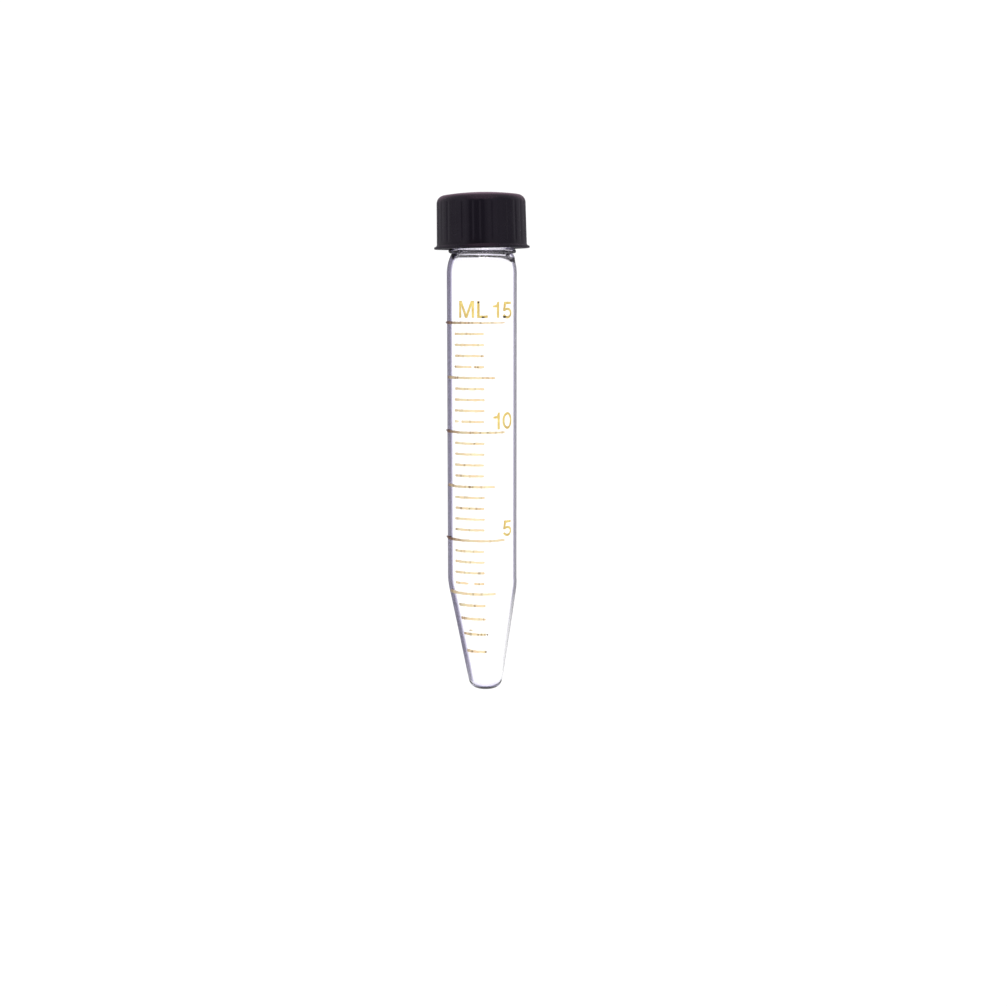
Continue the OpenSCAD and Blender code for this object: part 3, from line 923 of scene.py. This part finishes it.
def make_fleck(direction, z, width, height, burnt):
    """A fleck of over-fired enamel: a flattened ball with an uneven edge."""
    bpy.ops.object.select_all(action="DESELECT")
    bpy.ops.mesh.primitive_ico_sphere_add(subdivisions=3, radius=0.5 * MM)
    piece = bpy.context.object
    bpy.ops.object.mode_set(mode="EDIT")
    bpy.ops.transform.resize(value=(width, 2.4 * INK_T, height), center_override=(0, 0, 0))
    bpy.ops.object.mode_set(mode="OBJECT")
    p = vertices(piece)
    for row in p:
        row *= 1 + 0.35 * unevenness(*(Vector(row) + Vector((z, 0, 0))), 2.6)
    r = np.array([skin_radius(v) for v in z + p[:, 2]])
    a = np.radians(direction - 90) + p[:, 0] / r
    r += INK_T / 2 - p[:, 1]
    set_vertices(piece, np.column_stack((r * np.cos(a), r * np.sin(a), z + p[:, 2])))
    burn_attribute(piece, np.full(len(p), burnt))
    return piece


def lean_print(piece):
    p = vertices(piece)
    p[:, 0] += lean_of(p[:, 2])
    set_vertices(piece, p)
    return lay_down(piece)


def make_scale(thin, thick, fleck):
    lines = join(print_lines(), "scale_lines")
    figures = join(print_figures(), "scale_figures")
    flecks = [(*one, 1.0) for one in FLECKS]
    flecks += [(direction, line_height(n), width, FLECK_H, LINE_FLECK_BURNT)
               for n, direction, width in LINE_FLECKS]
    specks = join([make_fleck(*one) for one in flecks], "scale_flecks")
    for piece, material in ((lines, thin), (figures, thick), (specks, fleck)):
        lean_print(piece)
        dress(piece, material)
        pick(piece)
        bpy.ops.object.shade_smooth_by_angle(angle=radians(40))
    return lines, figures, specks


# ---------------------------------------------------------------- the cap

CAP_STEPS = 360
RIB_STEPS = 18          # rings in the fluted part of the wall, besides its ends


def cap_outside():
    """Outline of the cap from the middle of its top down to the mouth of its bore."""
    top_r = CAP_R - CAP_DRAFT
    edge_r = top_r - CAP_ROUND
    dome_r = edge_r ** 2 / (2 * DOME_RISE)
    dome_a = acos(edge_r / (dome_r - CAP_ROUND))
    edge_z = CAP_TOP - dome_r + (dome_r - CAP_ROUND) * sin(dome_a)
    wall_z = CAP_Z + LIP_H + FLARE
    points = arc((0, CAP_TOP - dome_r), dome_r, 90, degrees(dome_a), 10)
    points += arc((edge_r, edge_z), CAP_ROUND, degrees(dome_a), 0, 14)[1:]
    points += straight(points[-1], (CAP_R, wall_z), RIB_STEPS)
    points += arc((CAP_R + FLARE, wall_z), FLARE, 180, 270, 8)
    points += arc((LIP_R - LIP_ROUND, CAP_Z + LIP_ROUND), LIP_ROUND, 30, -90, 8)
    return points + [(CAP_BORE_R + CAP_LEAD, CAP_Z)]


def cap_inside():
    """Outline of the inside of the cap, up its bore and along its ceiling to the middle."""
    foot, head = (CAP_BORE_R, CAP_Z + CAP_LEAD), (CAP_BORE_R, CAP_CEILING - INNER_ROUND)
    points = [foot] + straight(foot, head, ceil((head[1] - foot[1]) / RING_GAP))
    points += arc((CAP_BORE_R - INNER_ROUND, head[1]), INNER_ROUND, 0, 90, 4)
    return points + straight(points[-1], (0, CAP_CEILING), 4) + [(0, CAP_CEILING)]


def press_flutes(p):
    """Presses the shallow flutes into the wall; each runs out softly at its ends."""
    r = np.hypot(p[:, 0], p[:, 1])
    turn = np.arctan2(p[:, 1], p[:, 0])
    share = (np.degrees(turn) / (360 / FLUTES)) % 1
    across = np.clip(np.abs(share - 0.5) * 2 / FLUTE_SHARE, 0, 1)
    hollow = np.cos(across * pi / 2) ** 2
    low, high = CAP_Z + LIP_H + FLARE + FLUTE_GAP, CAP_TOP - CAP_ROUND
    ends = smooth((p[:, 2] - low) / FLUTE_RUN) * smooth((high - p[:, 2]) / FLUTE_RUN)
    deep = FLUTE_DEPTH * (1 + 0.35 * np.sin(3.1 * np.floor(turn / (2 * pi) * FLUTES)))
    outer = r > CAP_BORE_R + 0.5
    p[:, :2] *= (1 - outer * hollow * ends * deep / r.clip(1))[:, None]


def make_cap(plastic):
    piece = spun("cap_shell", cap_outside() + cap_inside(), CAP_STEPS)
    raise_thread(piece, lambda r, z: np.abs(r - CAP_BORE_R) < 0.01, CAP_THREAD_R - CAP_BORE_R,
                 CAP_THREAD_A, CAP_THREAD_Z, CAP_TURNS, CAP_THREAD_FOOT, CAP_THREAD_CREST)
    p = vertices(piece)
    press_flutes(p)
    set_vertices(piece, p)
    pick(piece)
    bpy.ops.object.shade_smooth_by_angle(angle=radians(35))
    bpy.ops.object.mode_set(mode="EDIT")
    bpy.ops.mesh.select_all(action="SELECT")
    bpy.ops.transform.rotate(value=radians(CAP_SKEW), orient_axis="Y",
                             center_override=(0, 0, SKEW_Z * MM))
    bpy.ops.object.mode_set(mode="OBJECT")
    dress(piece, plastic)
    return lay_down(piece)


def make_liner(rubber):
    """The sealing disc, with the ring that the rim of the glass has pressed into it."""
    low, high = GLASS_L, GLASS_L + LINER_T
    edge = LINER_R - LINER_EDGE
    points = [(0, low)] + straight((0, low), (MOUTH_R - DENT_PAST, low), 4)
    for i in range(DENT_STEPS + 1):
        t = i / DENT_STEPS
        points.append((MOUTH_R - DENT_PAST + (NECK_R - MOUTH_R + 2 * DENT_PAST) * t,
                       low + LINER_DENT * sin(pi * t) ** 2))
    points += arc((edge, low + LINER_EDGE), LINER_EDGE, -90, 0, 5)
    points += arc((edge, high - LINER_EDGE), LINER_EDGE, 0, 90, 5)
    points += [(0, high)]
    piece = spun("liner_disc", points, 120)
    dress(piece, rubber)
    return lay_down(piece)


# ---------------------------------------------------------------- pieces


def carried(piece, body, node):
    """Makes a piece ride on a body in the place of a node."""
    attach(piece, body)
    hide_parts(node)


glass_skin = glass_material("clear glass", True)
glass_bore = glass_material("clear glass bore", False)
amber = enamel_material("amber enamel", (0.58, 0.39, 0.09), (0.78, 0.64, 0.20),
                        (0.12, 0.045, 0.025))
thin_amber = enamel_material("thin amber enamel", (0.71, 0.52, 0.31), (0.74, 0.66, 0.41),
                             (0.12, 0.045, 0.025))
fleck = enamel_material("burnt enamel", (0.13, 0.07, 0.02), (0.28, 0.17, 0.05),
                        (0.02, 0.012, 0.012))
black = plastic_material("black plastic", (0.0052, 0.004, 0.007), (0.0075, 0.0058, 0.0095),
                         (0.26, 0.34), 0.2)
rubber = plastic_material("black rubber", (0.018, 0.018, 0.02), (0.03, 0.03, 0.032),
                          (0.6, 0.8), 0.5)

carried(make_glass(glass_skin, glass_bore), "tube", "glass_tube")
for printed in make_scale(thin_amber, amber, fleck):
    carried(printed, "tube", "graduation_scale")
carried(make_cap(black), "cap", "screw_cap")
carried(make_liner(rubber), "liner", "cap_liner")

# ---------------------------------------------------------------- stage

# The floor and the world are white where they are seen. To reflections they show these bands
# instead, which are chosen for the look of the gloss and copy no real room.
CAP_GLOW = (0.72, 0.45, 0.62)   # what the gloss of the cap's top shows
BESIDE_TUBE = (0.32, 0.31, 0.34)    # what the gloss of the cylinder shows of the floor
BESIDE_CONE = (0.18, 0.17, 0.19)    # the same for the cone
FLOOR_GLOW = 1.07               # strength of the floor's own light
FLOOR_GLOW_THROUGH = 1.2        # the same where it is seen through the glass
FLOOR_GLOW_SHARE = 0.9          # the rest of the floor is matte and takes shadows


def violet(grey):
    """A grey with the faint violet that the black gloss shows."""
    return 1.05 * grey, 0.93 * grey, 1.15 * grey


def floor_reflections(nodes, links):
    """What gloss shows of the floor: darkest beside the cap, rosy past it, white past the tip."""
    place = nodes.new("ShaderNodeTexCoord")
    split = nodes.new("ShaderNodeSeparateXYZ")
    links.new(place.outputs["Object"], split.inputs["Vector"])
    x, y = split.outputs["X"], split.outputs["Y"]
    beside = absolute(nodes, links, x)
    dark = ramp_node(nodes, [(0.0, violet(0.05)), (0.2, violet(0.10)), (1.0, violet(0.25))])
    links.new(mapped(nodes, links, beside, 0.005, 0.04), dark.inputs["Fac"])
    glass = blended(nodes, links, mapped(nodes, links, y, -0.045, -0.03), BESIDE_CONE, BESIDE_TUBE)
    grey = blended(nodes, links, mapped(nodes, links, y, 0.03, 0.045), glass,
                   dark.outputs["Color"])
    rosy = combined(nodes, links, "MULTIPLY",
                    mapped(nodes, links, y, cad_high.y - 0.002, cad_high.y + 0.01),
                    mapped(nodes, links, beside, 0.04, 0.01))
    shown = blended(nodes, links, rosy, grey, CAP_GLOW)
    past_tip = mapped(nodes, links, y, TIP.y + 0.003, TIP.y)
    return blended(nodes, links, past_tip, shown, CLEAR)


def make_floor():
    bpy.ops.object.select_all(action="DESELECT")
    bpy.ops.mesh.primitive_plane_add(size=4)
    floor = bpy.context.object
    floor.name = "floor"
    made, nodes, links = new_material("white floor")
    matte = nodes.new("ShaderNodeBsdfDiffuse")
    matte.inputs["Color"].default_value = (0.9, 0.9, 0.9, 1)
    glow = nodes.new("ShaderNodeEmission")
    path = nodes.new("ShaderNodeLightPath")
    through = path.outputs["Is Transmission Ray"]
    seen = combined(nodes, links, "MAXIMUM", path.outputs["Is Camera Ray"], through)
    gloss = combined(nodes, links, "SUBTRACT", path.outputs["Is Glossy Ray"], through)
    shown = combined(nodes, links, "MAXIMUM", seen, gloss)
    links.new(blended(nodes, links, seen, floor_reflections(nodes, links), CLEAR),
              glow.inputs["Color"])
    links.new(mapped(nodes, links, through, 0, 1, FLOOR_GLOW, FLOOR_GLOW_THROUGH),
              glow.inputs["Strength"])
    mix = nodes.new("ShaderNodeMixShader")
    links.new(mapped(nodes, links, shown, 0, 1, 0, FLOOR_GLOW_SHARE), mix.inputs["Fac"])
    links.new(matte.outputs["BSDF"], mix.inputs[1])
    links.new(glow.outputs["Emission"], mix.inputs[2])
    put_out(nodes, links, mix.outputs["Shader"])
    dress(floor, made)


make_floor()

# ---------------------------------------------------------------- light and camera

# What gloss shows from the left (0) over the top (0.5) to the right (1)
PANELS = [(0.0, 0.25), (0.12, 0.36), (0.19, 0.34), (0.26, 0.05), (0.54, 0.03), (0.62, 0.24),
          (0.8, 0.27), (1.0, 0.2)]
VIEW_DISTANCE = 418.3   # from the axis of the tube to the camera
VIEW_Z = 98.6           # height over the tip at which the camera looks squarely at the axis
VIEW_PITCH = 7.12       # degrees by which the camera looks down towards the tip
VIEW_ROLL = -0.08       # degrees by which the tube leans in the picture
VIEW_FOCAL = 61.1       # focal length for a sensor 36 mm wide
SENSOR = 36.0
VIEW_SHIFT = 0.0212512  # how far the tube stands left of the middle, as a share of the width


def make_world():
    """White where it is seen; soft daylight otherwise; gloss shows panels at the left and right."""
    world = bpy.data.worlds.new("studio")
    bpy.context.scene.world = world
    world.use_nodes = True
    nodes, links = world.node_tree.nodes, world.node_tree.links
    ray = nodes.new("ShaderNodeTexCoord")
    way = nodes.new("ShaderNodeSeparateXYZ")
    links.new(ray.outputs["Generated"], way.inputs["Vector"])
    sky = ramp_node(nodes, [(0.0, (0.8, 0.8, 0.82)), (1.0, (0.4, 0.4, 0.42))])
    links.new(way.outputs["Z"], sky.inputs["Fac"])
    panels = ramp_node(nodes, [(place, violet(grey)) for place, grey in PANELS])
    links.new(mapped(nodes, links, way.outputs["X"], -1, 1), panels.inputs["Fac"])
    aside = absolute(nodes, links, way.outputs["X"])
    rosy = combined(nodes, links, "MULTIPLY", mapped(nodes, links, way.outputs["Y"], 0.25, 0.7),
                    mapped(nodes, links, aside, 0.6, 0.3))
    glow = blended(nodes, links, rosy, panels.outputs["Color"], CAP_GLOW)
    path = nodes.new("ShaderNodeLightPath")
    through = path.outputs["Is Transmission Ray"]
    seen = combined(nodes, links, "MAXIMUM", path.outputs["Is Camera Ray"], through)
    shown = blended(nodes, links, path.outputs["Is Glossy Ray"], sky.outputs["Color"], glow)
    links.new(blended(nodes, links, seen, shown, CLEAR), nodes["Background"].inputs["Color"])


def make_lamp(name, place, power, size):
    """A square softbox that looks at the middle of the tube, and shows in no gloss."""
    bpy.ops.object.light_add(type="AREA", location=place)
    lamp = bpy.context.object
    lamp.name = name
    lamp.data.energy = power
    lamp.data.size = size
    lamp.rotation_euler = (-Vector(place)).to_track_quat("-Z", "Y").to_euler()
    lamp.visible_glossy = False


def make_camera():
    data = bpy.data.cameras.new("camera")
    camera = bpy.data.objects.new("camera", data)
    bpy.context.scene.collection.objects.link(camera)
    place = LAID @ Vector((0, -VIEW_DISTANCE * MM, VIEW_Z * MM))
    down = Vector((0, cos(radians(VIEW_PITCH)), -sin(radians(VIEW_PITCH))))
    look = LAID.to_3x3() @ down
    up = LAID.to_3x3() @ Vector((0, sin(radians(VIEW_PITCH)), cos(radians(VIEW_PITCH))))
    right = look.cross(up)
    turn = Matrix((right, up, -look)).transposed()
    camera.matrix_world = (Matrix.Translation(place) @ turn.to_4x4()
                           @ Matrix.Rotation(radians(VIEW_ROLL), 4, "Z"))
    data.lens = VIEW_FOCAL
    data.sensor_width = SENSOR
    data.shift_x = VIEW_SHIFT
    data.clip_start = 0.01
    bpy.context.scene.camera = camera


make_world()
make_lamp("key", (0.1, 0.7, 0.4), 7.0, 0.6)
make_lamp("fill", (-0.1, -0.7, 0.4), 7.0, 0.6)
make_camera()
bpy.context.scene.view_settings.view_transform = "Standard"
